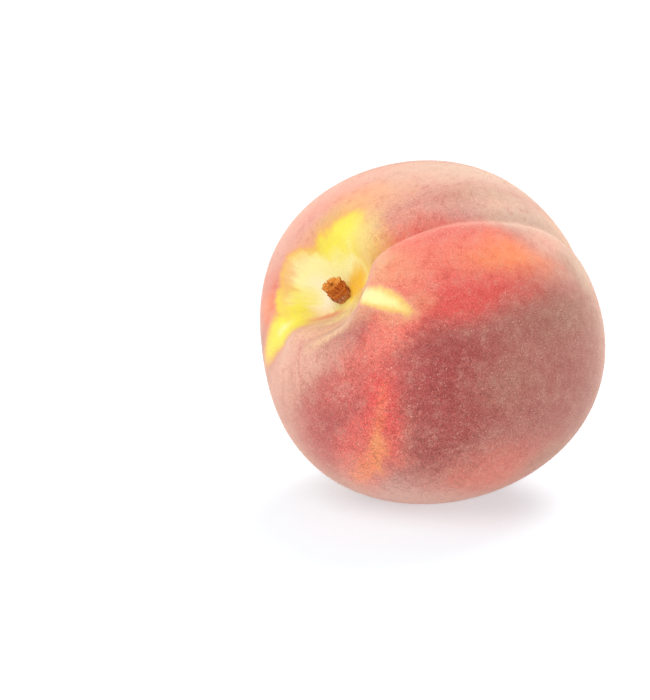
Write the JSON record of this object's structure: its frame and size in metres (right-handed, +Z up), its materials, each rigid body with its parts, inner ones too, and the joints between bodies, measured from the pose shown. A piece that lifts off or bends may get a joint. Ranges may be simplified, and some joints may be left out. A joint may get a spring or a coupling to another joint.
{
  "type": "peach",
  "caption": "Ripe round peach with a deep stem cavity, a seam along one side and a short stub of stem, lying on its cheek on a small flat spot.",
  "frame": {"origin": "on the surface the peach rests on, below the middle of its outline", "axes": "+Z up from the flat spot; the stem end looks towards -X and -Y and about 25 degrees up; the blossom end is at the back right"},
  "size_m": [0.0746, 0.0752, 0.0727],
  "materials": {
    "skin": "matt, downy skin: red blush over golden yellow, pale yellow round the stem, with fine pale fuzz all over",
    "woody_stem": "dry brown bark with a paler, rough picked end"
  },
  "bodies": {
    "root": {"fruit": "skin", "stem": "woody_stem"}
  },
  "joints": []
}
